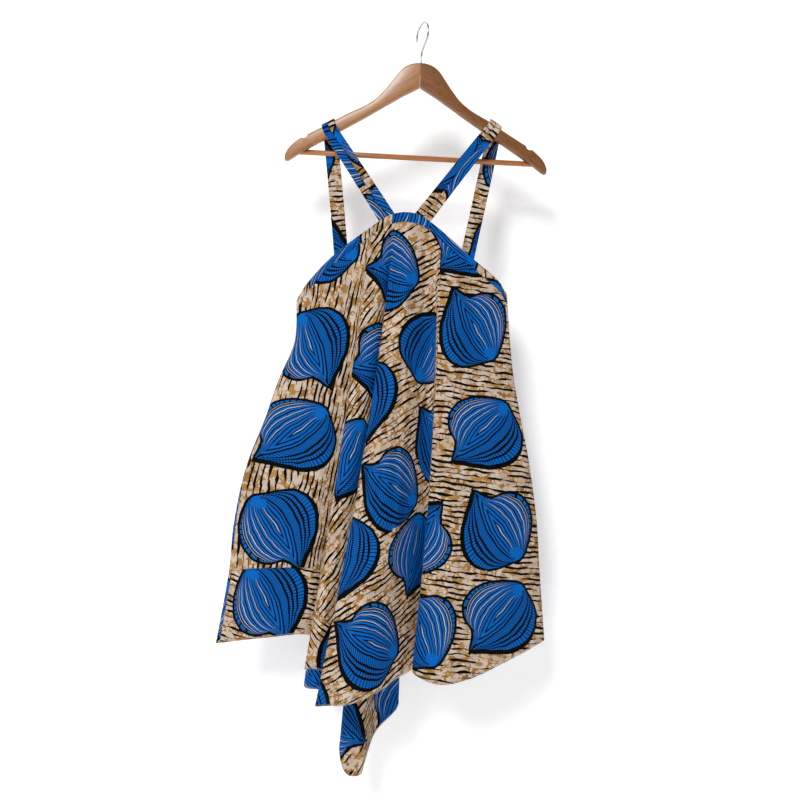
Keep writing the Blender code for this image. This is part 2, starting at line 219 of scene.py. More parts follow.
Station = namedtuple("Station", "x top bottom")
ARM_STATIONS = [
    Station(MITRE_GAP, -66.5, -107),
    Station(9, -67.2, -112),
    Station(20, -70.5, -118),
    Station(31, -78, -124),
    Station(42, -92, -131),
    Station(54, -108, -138),
    Station(70, -126, -148),
    Station(90, -140, -160),
    Station(120, -154.5, -177),
    Station(150, -171, -194),
    Station(175, -184, -208),
    Station(197, -195.5, -220.5),
    Station(211, -206, -229.5),
    Station(219, -215, -234),
    Station(HANGER_WIDTH / 2, -224, -233),
]


def cubic(keys, values, at):
    """The value at a key on a smooth curve through the values, which are numbers or vectors."""
    i = 0
    while i < len(keys) - 2 and at > keys[i + 1]:
        i += 1
    span = keys[i + 1] - keys[i]
    u = (at - keys[i]) / span

    def slope(k):
        low, high = max(k - 1, 0), min(k + 1, len(keys) - 1)
        return (values[high] - values[low]) / (keys[high] - keys[low]) * span

    return (
        values[i] * (2 * u**3 - 3 * u**2 + 1)
        + slope(i) * (u**3 - 2 * u**2 + u)
        + values[i + 1] * (3 * u**2 - 2 * u**3)
        + slope(i + 1) * (u**3 - u**2)
    )


def arm_front(x):
    """The front face's place: the arms sweep forward towards their tips."""
    return CENTRE_FRONT + (TIP_FRONT - CENTRE_FRONT) * (abs(x) / (HANGER_WIDTH / 2)) ** SWEEP_POWER


def arm_mesh(name, side):
    """A rounded bar through the stations of an arm."""
    keys = [s.x for s in ARM_STATIONS]
    rings = []
    for step in range(ARM_STEPS + 1):
        x = keys[0] + (keys[-1] - keys[0]) * step / ARM_STEPS
        top = cubic(keys, [s.top for s in ARM_STATIONS], x)
        bottom = cubic(keys, [s.bottom for s in ARM_STATIONS], x)
        rounding = min(ARM_ROUNDING, (top - bottom) / LEAST_HEIGHT)
        back, front = arm_front(x) + ARM_THICKNESS, arm_front(x)
        ring = []
        for y, z, start in (
            (back - rounding, top - rounding, 0),
            (front + rounding, top - rounding, 90),
            (front + rounding, bottom + rounding, 180),
            (back - rounding, bottom + rounding, 270),
        ):
            for degrees in range(start, start + 91, 15):
                angle = math.radians(degrees)
                out, up = rounding * math.cos(angle), rounding * math.sin(angle)
                ring.append(Vector((side * x, y + out, z + up)))
        rings.append(ring)
    return grid_mesh(name, rings, closed=True, capped=True)


def cutting_cylinder(name, radius, start, end):
    """A hidden cylinder for a notch or a hole, removed after the cut."""
    start, end = Vector(start) * MM, Vector(end) * MM
    shape = bmesh.new()
    bmesh.ops.create_cone(shape, cap_ends=True, segments=48, radius1=radius * MM, radius2=radius * MM,
                          depth=(end - start).length)
    turn = (end - start).to_track_quat("Z", "Y").to_matrix().to_4x4()
    bmesh.ops.transform(shape, matrix=Matrix.Translation((start + end) / 2) @ turn, verts=shape.verts)
    mesh = bpy.data.meshes.new(name)
    shape.to_mesh(mesh)
    shape.free()
    cutter = bpy.data.objects.new(name, mesh)
    bpy.context.scene.collection.objects.link(cutter)
    return cutter


def cut_away(piece, cutters):
    """Cuts a piece and keeps the result as its mesh."""
    for cutter in cutters:
        hole = piece.modifiers.new(cutter.name, "BOOLEAN")
        hole.operation, hole.object = "DIFFERENCE", cutter
    cut = bpy.data.meshes.new_from_object(piece.evaluated_get(bpy.context.evaluated_depsgraph_get()))
    piece.modifiers.clear()
    piece.data = cut
    for cutter in cutters:
        bpy.data.objects.remove(cutter, do_unlink=True)
    cut.shade_smooth()
    cut.set_sharp_from_angle(angle=math.radians(38))


def blend(tree, share, first, second):
    return put(tree, "MixRGB", {0: share, 1: first, 2: second})


def lacquered_beech(name, light, dark, fleck, slope):
    """Grain along an arm that slopes by an angle, with short flecks, under a satin lacquer."""
    finish, tree, shader = new_material(name, Coat_Weight=0.35, Coat_Roughness=0.22, IOR=1.5)
    place = put(tree, "TexCoord", output=3)
    along = put(tree, "Mapping", {0: place, 2: (0, slope, 0)})
    long_grain = put(tree, "Mapping", {0: along, 3: (7, 150, 150)})
    grain = put(tree, "TexNoise", {"Vector": long_grain, "Scale": 1.0, "Detail": 6.0, "Distortion": 0.6})
    fine = put(tree, "Mapping", {0: along, 3: (45, 900, 900)})
    pores = noise(tree, fine, 1.0, 2.0)
    tone = ramp(tree, grain, [(0.3, linear(dark)), (0.5, linear(light)), (0.72, linear(dark))])
    flecks = ramp(tree, pores, [(0.3, (1, 1, 1, 1)), (0.42, (0, 0, 0, 1))])
    colour = blend(tree, flecks, tone, linear(fleck))
    feed(shader, Base_Color=colour)
    rough = put(tree, "MapRange", {"Value": grain, 3: 0.3, 4: 0.45})
    feed(shader, Roughness=rough)
    bump = put(tree, "Bump", {"Strength": 0.12, "Distance": 0.0004, "Height": pores})
    feed(shader, Normal=bump)
    return finish


# one beech in two copies: the left arm's is painted light, the right arm's is painted shade
beech_with_painted_light = lacquered_beech("lacquered beech, painted lit", "AA743E", "965F30", "7C4A24", math.radians(30))
beech_with_painted_shade = lacquered_beech("lacquered beech, painted shade", "8C5A30", "764622", "5C3216", math.radians(-30))
for side, word, finish, slot in (
    (-1, "left", beech_with_painted_light, "light_wood"),
    (1, "right", beech_with_painted_shade, "dark_wood"),
):
    arm = link_piece(f"{word}_arm", arm_mesh(f"{word}_arm", side), finish, slot, f"hanger_arm_{word}")
    cut_away(arm, [
        cutting_cylinder("notch", NOTCH_RADIUS, (side * NOTCH_X, BAR_BACK - 40, NOTCH_Z),
                         (side * NOTCH_X, BAR_BACK + 40, NOTCH_Z)),
        cutting_cylinder("bar hole", BAR_DIAMETER / 2 + HOLE_PLAY, (side * 150, BAR_BACK, BAR_HEIGHT),
                         (side * (BAR_HALF_LENGTH + HOLE_PLAY), BAR_BACK, BAR_HEIGHT)),
        cutting_cylinder("stem hole", WIRE_DIAMETER / 2 + HOLE_PLAY, (0, STEM_Y, -89), (0, STEM_Y, -50)),
    ])

# --------------------------------------------------
# Trouser bar: a turned 9 mm dowel, stained a warm orange and lacquered, held in a hole in each arm.
# Its grain is long and even.

rounded = [Vector((x, BAR_BACK, BAR_HEIGHT)) for x in (-BAR_HALF_LENGTH + 3, -70, 70, BAR_HALF_LENGTH - 3)]
bar_finish = lacquered_beech("stained dowel", "B8743A", "A05E26", "804418", 0.0)
bar_mesh = tube("dowel", rounded, BAR_DIAMETER / 2, sides=40)
link_piece("dowel", bar_mesh, bar_finish, "dowel_wood", "trouser_bar")

# --------------------------------------------------
# Front panel: plain weave cotton, wax printed on both faces, cut as a flare of a little over a quarter
# circle. The print's lines run down the left side seam and across the right one. It hangs from its top
# edge in uneven folds.

CLOTH = 0.9  # shown wall of one layer
SIDE_SEAM = 0.5
FOLD_START = 0.03
FOLD_OPENING = 0.9
SWELL_REACH = 75.0
CREASE_REACH, CREASE_FALL = 2.5, 1.5  # how far a crease reaches, in its half widths, and how fast it fades

Edge = namedtuple("Edge", "place x y z")
FRONT_EDGE = [
    Edge("left underarm", -188, -SIDE_SEAM, -473),
    Edge("left armhole, low", -172, -6, -446),
    Edge("left armhole", -134, -10, -401),
    Edge("left armhole, high", -79, -13, -354),
    Edge("neck, left", -34, -14, -323),
    Edge("neck, right", 6, -14, -320),
    Edge("right armhole, high", 40, -13, -339),
    Edge("right armhole", 96, -10, -383),
    Edge("right armhole, low", 150, -5, -424),
    Edge("right underarm", 166, -SIDE_SEAM, -446),
]
# top is X on the top edge; x, y, z is the hem; bow moves the middle sideways; band is the pieced strip's
# height; hidden is how many degrees of the flare lie folded away between this line and the next.
Fold = namedtuple("Fold", "line top x y z bow band hidden")
FRONT_FOLDS = [
    Fold("left side seam", -188, -287, -SIDE_SEAM, -1058, 0, 125, 0),
    Fold("left flat, outer", -168, -252, -13, -1048, 0, 122, 0),
    Fold("left flat, middle", -138, -199, -19, -1038, 0, 117, 0),
    Fold("left flat, inner", -106, -146, -16, -1031, 0, 111, 2),
    Fold("first valley, in", -86, -108, -3, -1042, 2, 106, 3),
    Fold("first valley, out", -76, -104, -15, -1056, 2, 99, 11),
    Fold("narrow fold, left", -66, -138, -31, -1082, 4, 92, 0),
    Fold("narrow fold, front", -52, -123, -46, -1078, 6, 86, 0),
    Fold("narrow fold, right", -40, -107, -40, -1083, 6, 76, 4),
    Fold("second valley, in", -34, -52, -12, -1098, 0, 52, 6),
    Fold("second valley, out", -30, -48, -27, -1110, 2, 38, 4),
    Fold("cone, left", -26, -114, -56, -1133, 10, 0, 0),
    Fold("cone, left front", -22, -92, -80, -1125, 10, 0, 0),
    Fold("cone, front", -15, -66, -94, -1118, 8, 0, 0),
    Fold("cone, right front", -6, -40, -89, -1110, 6, 0, 0),
    Fold("cone, right", 5, -14, -72, -1101, 4, 0, 0),
    Fold("cone, turned away", 18, 16, -40, -1088, 2, 0, 1),
    Fold("third valley, in", 30, 56, -7, -1074, 0, 0, 3),
    Fold("third valley, out", 40, 62, -21, -1072, 3, 0, 22),
    Fold("right panel, left", 51, 39, -47, -1075, 9, 0, 0),
    Fold("right panel, crown", 70, 82, -63, -1088, 4, 0, 0),
    Fold("right panel, middle", 96, 133, -58, -1077, 0, 0, 0),
    Fold("right panel, outer", 124, 182, -44, -1056, 0, 0, 0),
    Fold("right side, inner", 148, 226, -25, -1037, 0, 0, 0),
    Fold("right side seam", 166, 260, -SIDE_SEAM, -1024, 0, 0, 0),
]
Swell = namedtuple("Swell", "down left right")
SIDE_SWELL = [
    Swell(0.0, 0, 0),
    Swell(0.12, 12, -3),
    Swell(0.23, 0, -4),
    Swell(0.34, -7, 0),
    Swell(0.49, -20, 7),
    Swell(0.65, -18, 9),
    Swell(0.79, -7, 5),
    Swell(1.0, 0, 0),
]
# A soft crease: its place among the folds at its top and foot, how far down it runs, its half width in
# folds, and how far it stands out (negative towards the front).
Crease = namedtuple("Crease", "start foot top bottom width out")
FRONT_CREASES = [
    Crease(1.6, 1.9, 0.05, 0.30, 0.5, 2.5),
    Crease(2.7, 2.9, 0.1, 0.95, 0.5, -2.5),
    Crease(0.7, 1.2, 0.3, 0.8, 0.35, -1.8),
    Crease(14.3, 14.9, 0.25, 0.62, 0.6, 5),
    Crease(15.1, 15.4, 0.35, 0.8, 0.4, -3),
    Crease(13.2, 13.4, 0.3, 0.9, 0.35, 2.2),
    Crease(20.6, 20.4, 0.04, 0.3, 0.5, -3.5),
    Crease(21.5, 21.2, 0.02, 0.26, 0.4, 2.6),
    Crease(22.6, 22.9, 0.1, 0.5, 0.45, 2),
    Crease(21.2, 21.4, 0.45, 0.95, 0.6, 3),
    Crease(23.1, 22.7, 0.5, 1.0, 0.5, -2.5),
    Crease(9.4, 9.2, 0.02, 0.4, 0.6, 3.5),
    Crease(12.4, 12.9, 0.02, 0.42, 0.7, 4),
    Crease(14.6, 14.2, 0.03, 0.36, 0.6, -3.5),
    Crease(16.6, 16.3, 0.02, 0.3, 0.5, 3),
]
ACROSS, DOWN = 11, 150  # mesh steps from one fold line to the next, and from top to hem


def side_swell(down, hem_x, left_x, right_x):
    """How far a side seam's soft waves move a line near it sideways."""
    keys = [s.down for s in SIDE_SWELL]
    near_left = min(1.0, max(0.0, 1 - (hem_x - left_x) / SWELL_REACH))
    near_right = min(1.0, max(0.0, 1 - (right_x - hem_x) / SWELL_REACH))
    swell = 0.0
    if near_left:
        swell += near_left * cubic(keys, [s.left for s in SIDE_SWELL], down)
    if near_right:
        swell += near_right * cubic(keys, [s.right for s in SIDE_SWELL], down)
    return swell


class Line:
    """One line of a panel from its top edge to its hem, at a place among the folds."""

    def __init__(self, folds, edge, creases, place):
        keys = list(range(len(folds)))
        self.place = place
        x = cubic(keys, [f.top for f in folds], place)
        xs = [e.x for e in edge]
        self.top = Vector((x, cubic(xs, [e.y for e in edge], x), cubic(xs, [e.z for e in edge], x)))
        self.hem = cubic(keys, [Vector((f.x, f.y, f.z)) for f in folds], place)
        self.bow = cubic(keys, [f.bow for f in folds], place)
        self.band = max(0.0, cubic(keys, [f.band for f in folds], place))
        self.hidden = folds[min(int(place), len(folds) - 2)].hidden / ACROSS
        self.sides = folds[0].x, folds[-1].x
        self.creases = creases

    def length(self):
        """Straight from the top edge to the hem."""
        return (self.hem - self.top).length

    def at(self, down):
        """The point at a share of the way down."""
        point = self.top.lerp(self.hem, down)
        point.x += self.bow * math.sin(math.pi * down)
        point.x += side_swell(down, self.hem.x, *self.sides)
        opened = max(0.0, (down - FOLD_START) / (1 - FOLD_START)) ** FOLD_OPENING
        point.y = self.top.y + (self.hem.y - self.top.y) * opened
        for crease in self.creases:
            if crease.top < down < crease.bottom:
                run = (down - crease.top) / (crease.bottom - crease.top)
                off = (self.place - crease.start - (crease.foot - crease.start) * run) / crease.width
                if abs(off) < CREASE_REACH:
                    point.y += crease.out * math.sin(math.pi * run) * math.exp(-off * off * CREASE_FALL)
        return point


def panel_lines(folds, edge, creases):
    count = (len(folds) - 1) * ACROSS
    return [Line(folds, edge, creases, i / ACROSS) for i in range(count + 1)]


def corner_beside(start, end, from_start, from_end):
    """The flat point to the right of a line, at its two distances from the line's ends."""
    along = (end - start).normalized()
    far = (end - start).length
    step = (from_start**2 - from_end**2 + far**2) / (2 * far)
    off = math.sqrt(max(0.0, from_start**2 - step**2))
    return start + along * step + Vector((-along.y, along.x)) * off


def unroll(lines):
    """The panel laid flat: each line's top and hem on the uncut cloth, with the hidden flare added."""
    flat = [(Vector((0, 0)), Vector((0, -lines[0].length())))]
    for here, there in zip(lines, lines[1:]):
        top, hem = flat[-1]
        if here.hidden:
            turn = Matrix.Rotation(math.radians(here.hidden), 2)
            hem = top + turn @ (hem - top)
        next_top = corner_beside(top, hem, (there.top - here.top).length, (there.top - here.hem).length)
        next_hem = corner_beside(top, hem, (there.hem - here.top).length, (there.hem - here.hem).length)
        flat.append((next_top, next_hem))
    return flat


# Shells, the print's large figures: the places of a shell's tip and of its heart, where its lines meet,
# each as a place among the folds and a share of the way down.
Shell = namedtuple("Shell", "where tip tip_down heart heart_down")
FRONT_SHELLS = [
    Shell("right column, first", 19.9, 0.1, 22.3, 0.225),
    Shell("right column, second", 20.2, 0.50, 22.7, 0.355),
    Shell("right column, third", 21.2, 0.56, 22.8, 0.74),
    Shell("right column, fourth", 20.9, 0.94, 22.9, 0.83),
    Shell("neck", 6.0, 0.095, 14.8, 0.14),
    Shell("right armhole", 18.85, 0.09, 22.75, -0.16),
    Shell("second column, first", 18.7, 0.18, 15.8, 0.37),
    Shell("valley, upper", 16.5, 0.42, 18.2, 0.54),
    Shell("valley, middle", 16.2, 0.83, 16.6, 0.67),
    Shell("right panel, left edge", 19.8, 0.60, 18.82, 0.77),
    Shell("right panel, foot", 18.91, 0.81, 19.7, 0.95),
    Shell("cone, middle", 11.9, 0.53, 15.9, 0.61),
    Shell("cone, foot", 11.4, 0.83, 15.7, 0.94),
    Shell("cone, left edge, upper", 11.3, 0.48, 10.2, 0.33),
    Shell("cone, left edge, lower", 11.1, 0.79, 10.9, 0.64),
    Shell("cone, corner", 12.2, 1.095, 10.5, 1.025),
    Shell("left armhole", 0.0, -0.2, 1.7, -0.07),
    Shell("left, first", 2.9, 0.37, 0.7, 0.09),
    Shell("left, second", 0.3, 0.47, 2.6, 0.43),
    Shell("left, third", 2.5, 0.82, 1.1, 0.63),
    Shell("narrow fold, upper", 5.7, 0.33, 10.3, 0.30),
    Shell("narrow fold, middle", 6.2, 0.64, 8.1, 0.445),
    Shell("first valley", 4.2, 0.752, 5.9, 0.745),
]
BAND_SHELLS = [
    Shell("left", 2.4, 1.0, 1.3, 0.84),
    Shell("narrow fold", 8.2, 0.86, 8.6, 1.0),
]
SHELL_SIZE = 62.0  # half the width of a shell's body
SHELL_TIP = 1.26  # from the body's centre to the tip, in those halves
HEART = -0.78  # from the centre to the heart
SHELL_REACH = 1.75  # past this the cloth is plain ground, and its place on a shell is far off
NO_SHELL = (5.0, 5.0)


def shell_centres(shells, lines, flat):
    """Each shell's centre on the flat cloth, and the angle its tip points along."""
    centres = []

    def spot(place, down):
        top, hem = flat[round(place * ACROSS)]
        return top.lerp(hem, down)

    for shell in shells:
        tip, heart = spot(shell.tip, shell.tip_down), spot(shell.heart, shell.heart_down)
        way = (tip - heart).normalized()
        middle = (tip + heart) / 2
        centres.append((middle - way * SHELL_SIZE * (SHELL_TIP + HEART) / 2, math.atan2(way.y, way.x)))
    return centres


def write_print(mesh, flat_points, centres):
    """Stores where each corner lies on the uncut cloth, and where it lies on the nearest shell."""
    cloth_map = mesh.uv_layers.new(name="cloth")
    shell_map = mesh.uv_layers.new(name="shell")
    for face in mesh.polygons:
        corners = [flat_points[mesh.loops[i].vertex_index] for i in face.loop_indices]
        middle = sum(corners, Vector((0, 0))) / len(corners)
        centre, turn = min(centres, key=lambda c: (c[0] - middle).length_squared)
        near = (centre - middle).length < SHELL_SIZE * SHELL_REACH
        back = Matrix.Rotation(math.pi / 2 - turn, 2)
        for loop, corner in zip(face.loop_indices, corners):
            cloth_map.data[loop].uv = corner * MM
            shell_map.data[loop].uv = back @ (corner - centre) / SHELL_SIZE if near else NO_SHELL


def cloth_piece(name, rows, flat_rows, centres, finish, slot, *nodes):
    """A thin printed sheet on rows of points, with its flat places and its shells."""
    mesh = grid_mesh(name, rows)
    write_print(mesh, [point for row in flat_rows for point in row], centres)
    piece = link_piece(name, mesh, finish, slot, *nodes)
    wall = piece.modifiers.new("wall", "SOLIDIFY")
    wall.thickness, wall.offset = CLOTH * MM, 0
    return piece


# A shell's outline: half its width on the ladder side and on the far side, from the foot to the tip.
# Along is from the body's centre, and both are in halves of the body.
Outline = namedtuple("Outline", "along width")
LADDER_OUTLINE = [
    Outline(-1.0, 0.0), Outline(-0.97, 0.1), Outline(-0.9, 0.38), Outline(-0.81, 0.68),
    Outline(-0.61, 0.97), Outline(-0.37, 1.1), Outline(-0.02, 1.13), Outline(0.36, 0.99),
    Outline(0.73, 0.66), Outline(1.0, 0.31), Outline(1.18, 0.1), Outline(1.26, 0.0),
]
FAR_OUTLINE = [
    Outline(-1.0, 0.0), Outline(-0.97, 0.12), Outline(-0.87, 0.32), Outline(-0.6, 0.62),
    Outline(-0.33, 0.85), Outline(-0.02, 0.99), Outline(0.34, 1.0), Outline(0.58, 0.87),
    Outline(0.7, 0.74), Outline(0.775, 0.56), Outline(0.81, 0.38), Outline(0.86, 0.27),
    Outline(1.03, 0.14), Outline(1.18, 0.06), Outline(1.26, 0.0),
]
WIDEST = 1.2  # the curves store widths as a share of this
RUNGS = 54  # all round a shell's centre


def calc(tree, operation, *values, **settings):
    """A Math node on up to three outputs or numbers."""
    return put(tree, "Math", dict(enumerate(values)), operation=operation, **settings)


def half_width(tree, along, ladder_side):
    """The outline's half width at a place along the shell, on the side that the point lies on."""
    level = put(tree, "MapRange", {"Value": along, 1: -1.0, 2: SHELL_TIP, 3: 0.0, 4: 1.0})
    sides = []
    for outline in (FAR_OUTLINE, LADDER_OUTLINE):
        output = put(tree, "FloatCurve", {"Value": level})
        line = output.node.mapping.curves[0]
        places = [((o.along + 1) / (SHELL_TIP + 1), o.width / WIDEST) for o in outline]
        line.points[0].location, line.points[1].location = places[0], places[-1]
        for place in places[1:-1]:
            line.points.new(*place)
        output.node.mapping.update()
        sides.append(output)
    mixed = put(tree, "Mix", {0: ladder_side, 2: sides[0], 3: sides[1]})
    return calc(tree, "MULTIPLY", mixed, WIDEST)


def shell_shading(tree):
    """The shell's colour and where it covers the ground, from its own coordinates."""
    place = put(tree, "UVMap", uv_map="shell")
    wobble = noise(tree, place, 3.0, 1.0)
    shift = put(tree, "MapRange", {"Value": wobble, 3: -0.04, 4: 0.04})
    parts = put(tree, "SeparateXYZ", {0: place}).node.outputs
    x = calc(tree, "ADD", parts[0], shift)
    y = parts[1]
    off = calc(tree, "ABSOLUTE", x)
    ladder_side = calc(tree, "LESS_THAN", x, 0.0)
    below = half_width(tree, calc(tree, "SUBTRACT", y, 0.02), ladder_side)
    above = half_width(tree, calc(tree, "ADD", y, 0.02), ladder_side)
    width = put(tree, "Mix", {0: 0.5, 2: below, 3: above})
    safe = calc(tree, "MAXIMUM", width, 0.02)
    share = calc(tree, "DIVIDE", off, safe)

    # how far a point lies outside the outline, measured square to it
    rise = calc(tree, "SUBTRACT", above, below)
    slope = calc(tree, "MULTIPLY", rise, 25.0)
    slope = calc(tree, "MULTIPLY_ADD", slope, slope, 1.0)
    slope = calc(tree, "POWER", slope, 0.5)
    edge = calc(tree, "SUBTRACT", off, width)
    edge = calc(tree, "DIVIDE", edge, slope)
    past_tip = calc(tree, "SUBTRACT", y, SHELL_TIP)
    past_foot = calc(tree, "SUBTRACT", -1.0, y)
    edge = calc(tree, "MAXIMUM", edge, past_tip)
    edge = calc(tree, "MAXIMUM", edge, past_foot)

    # nested leaves, which close towards the tip
    run = put(tree, "MapRange", {"Value": y, 1: 0.0, 2: SHELL_TIP, 3: 0.0, 4: 1.0})
    run = calc(tree, "POWER", run, 1.5)
    leaf_edge = put(tree, "Mix", {0: ladder_side, 2: 0.8, 3: 0.27})
    inward = calc(tree, "DIVIDE", share, leaf_edge)
    inside = calc(tree, "SUBTRACT", 1.0, inward, use_clamp=True)
    close = calc(tree, "MULTIPLY", run, inside)
    nested = calc(tree, "MULTIPLY_ADD", close, 0.34, share)

    blue, ink, cream = linear(BLUE), linear(INK), linear(CREAM)
    ladders = ramp(tree, nested, [
        (0, blue), (0.02, ink), (0.05, blue), (0.1, ink), (0.132, blue), (0.18, ink), (0.212, blue),
        (0.25, ink), (0.29, blue), (0.48, ink), (0.535, blue), (0.6, ink), (0.66, blue), (0.735, ink),
        (0.8, blue), (0.965, ink),
    ], "CONSTANT")
    leaves = ramp(tree, nested, [
        (0, cream), (0.018, ink), (0.05, blue), (0.1, ink), (0.132, blue), (0.19, ink),
        (0.222, blue), (0.275, ink), (0.305, cream), (0.318, blue), (0.37, ink), (0.402, blue),
        (0.45, ink), (0.48, cream), (0.494, blue), (0.55, ink), (0.582, blue), (0.622, ink),
        (0.652, cream), (0.668, blue), (0.725, ink), (0.755, cream), (0.769, blue), (0.802, ink),
        (0.834, cream), (0.845, ink), (0.88, blue), (0.97, ink),
    ], "CONSTANT")
    lines = blend(tree, ladder_side, leaves, ladders)
    # the light lines fade out towards the heart and towards the tip
    faded = ramp(tree, calc(tree, "MULTIPLY_ADD", y, 0.5, 0.5), [
        (0.1, (1, 1, 1, 1)), (0.3, (0, 0, 0, 1)), (0.8, (0, 0, 0, 1)), (0.95, (1, 1, 1, 1))])
    plain_lines = put(tree, "MixRGB", {0: 1.0, 1: lines, 2: blue}, blend_type="DARKEN")
    lines = blend(tree, faded, lines, plain_lines)

    # rungs across the bands, closer together towards the tip, and slanting hatches beside the leaf
    around = calc(tree, "ARCTAN2", y, x)
    crowd = calc(tree, "MULTIPLY", calc(tree, "ABSOLUTE", y), y)
    rung_turn = calc(tree, "MULTIPLY", around, RUNGS / math.tau)
    rung_turn = calc(tree, "MULTIPLY_ADD", crowd, -6.0, rung_turn)
    rung = calc(tree, "LESS_THAN", calc(tree, "FRACT", rung_turn), 0.25)
    slant = calc(tree, "MULTIPLY", x, -6.0)
    hatch_turn = calc(tree, "MULTIPLY_ADD", y, 17.0, slant)
    hatch = calc(tree, "LESS_THAN", calc(tree, "FRACT", hatch_turn), 0.3)
    beside_leaf = calc(tree, "GREATER_THAN", nested, 0.285)
    hatched = calc(tree, "MULTIPLY", beside_leaf, hatch)
    in_bands = calc(tree, "GREATER_THAN", share, 0.5)
    near_marks = put(tree, "Mix", {0: in_bands, 2: hatched, 3: rung})
    far_band = calc(tree, "GREATER_THAN", share, 0.85)
    far_marks = calc(tree, "MULTIPLY", far_band, rung)
    below_notch = calc(tree, "LESS_THAN", y, 0.8)
    far_marks = calc(tree, "MULTIPLY", far_marks, below_notch)
    marks = put(tree, "Mix", {0: ladder_side, 2: far_marks, 3: near_marks})
    drawn = blend(tree, marks, lines, ink)

    # the heart, where all lines run together and the dye floods them
    from_heart = put(tree, "VectorMath", {0: place, 1: (0.02, HEART, 0.0)}, output=1, operation="DISTANCE")
    ragged = noise(tree, place, 9.0, 2.0)
    flood_size = put(tree, "MapRange", {"Value": ragged, 1: 0.3, 2: 0.7, 3: 0.09, 4: 0.24})
    flooded = calc(tree, "LESS_THAN", from_heart, flood_size)
    colour = blend(tree, flooded, drawn, blue)

    outlined = calc(tree, "GREATER_THAN", edge, -0.04)
    colour = blend(tree, outlined, colour, ink)
    swell = put(tree, "MapRange", {"Value": y, 1: -0.9, 2: 0.0, 3: 0.02, 4: 0.08})
    thick = put(tree, "Mix", {0: ladder_side, 2: 0.026, 3: swell})
    covered = calc(tree, "LESS_THAN", edge, thick)
    return colour, covered


BLUE, INK, CREAM = "0564BC", "050505", "DCC6AC"
LINE_PITCH = 0.0088  # metres between the ground's black lines


def ground_shading(tree):
    """Cream ground under an ochre net with round pale cells, and broken black lines that run lengthwise."""
    place = put(tree, "UVMap", uv_map="cloth")
    tone_noise = noise(tree, place, 45.0, 2.0)
    pale = ramp(tree, tone_noise, [(0.35, linear("D8C7B5")), (0.65, linear("C0A996"))])
    cells = put(tree, "TexVoronoi", {"Vector": place, "Scale": 135.0, "Randomness": 0.8},
                feature="DISTANCE_TO_EDGE")
    blot_place = put(tree, "Mapping", {0: place, 3: (88, 70, 1)})
    blots = noise(tree, blot_place, 1.0, 2.0)
    reach = put(tree, "MapRange", {"Value": blots, 1: 0.34, 2: 0.66, 3: -0.15, 4: 0.29})
    dyed = calc(tree, "LESS_THAN", cells, reach)
    ochre_noise = noise(tree, place, 25.0, 2.0)
    ochre = ramp(tree, ochre_noise, [(0.35, linear("966C36")), (0.65, linear("B88A4E"))])
    ground = blend(tree, dyed, pale, ochre)

    sway_place = put(tree, "Mapping", {0: place, 3: (30, 26, 1)})
    sway = noise(tree, sway_place, 1.0, 2.5)
    parts = put(tree, "SeparateXYZ", {0: place}).node.outputs
    swayed = calc(tree, "MULTIPLY_ADD", sway, 0.012, parts[0])
    count = calc(tree, "MULTIPLY", swayed, 1 / LINE_PITCH)
    which = calc(tree, "FLOOR", count)
    across = calc(tree, "SUBTRACT", count, which)
    from_middle = calc(tree, "SUBTRACT", across, 0.5)
    from_middle = calc(tree, "ABSOLUTE", from_middle)
    jump = calc(tree, "MULTIPLY", which, 7.31)
    lengthwise = calc(tree, "MULTIPLY_ADD", parts[1], 24.0, jump)
    run_place = put(tree, "CombineXYZ", {0: jump, 1: lengthwise})
    run = noise(tree, run_place, 1.0, 2.5)
    half = put(tree, "MapRange", {"Value": run, 1: 0.4, 2: 0.56, 3: 0.0, 4: 0.23})
    line = calc(tree, "LESS_THAN", from_middle, half)
    return blend(tree, line, ground, linear(INK))


def wax_print_cotton():
    """Wax printed cotton: matt, with the last of its glaze, and a plain weave drawn coarser than its
    0.35 mm threads so that it shows."""
    finish, tree, shader = new_material(
        "wax printed plain weave cotton", Sheen_Weight=0.01, Sheen_Roughness=0.5, IOR=1.4,
        Specular_IOR_Level=0.1)
    shell, covered = shell_shading(tree)
    colour = blend(tree, covered, ground_shading(tree), shell)
    feed(shader, Base_Color=colour)
    place = put(tree, "UVMap", uv_map="cloth")
    threads = put(tree, "Mapping", {0: place, 3: (900, 900, 1)})
    weave = put(tree, "TexChecker", {"Vector": threads, "Scale": 1.0}, output=1)
    slub = noise(tree, place, 260.0, 3.0)
    height = calc(tree, "MULTIPLY_ADD", weave, 0.35, slub)
    bump = put(tree, "Bump", {"Strength": 0.25, "Distance": 0.0003, "Height": height})
    feed(shader, Normal=bump)
    rough = put(tree, "MapRange", {"Value": slub, 3: 0.68, 4: 0.86})
    feed(shader, Roughness=rough)
    return finish


cotton = wax_print_cotton()
front_lines = panel_lines(FRONT_FOLDS, FRONT_EDGE, FRONT_CREASES)
front_flat = unroll(front_lines)
front_centres = shell_centres(FRONT_SHELLS, front_lines, front_flat)


def panel_rows(lines, flat):
    """A panel's points in space and on the uncut cloth, down to its hem or to the pieced strip."""
    rows, flat_rows = [], []
    for step in range(DOWN + 1):
        downs = [step / DOWN * (1 - line.band / line.length()) for line in lines]
        rows.append([line.at(down) for line, down in zip(lines, downs)])
        flat_rows.append([top.lerp(hem, down) for (top, hem), down in zip(flat, downs)])
    return rows, flat_rows


front = cloth_piece("front", *panel_rows(front_lines, front_flat), front_centres, cotton,
                    "wax_print_cotton", "front_panel")

# --------------------------------------------------
# Hem band: the strip that lengthens the front's left side, cut the other way of the cloth, so that the
# print's lines lie level in it. It is joined with a plain seam, pressed down.

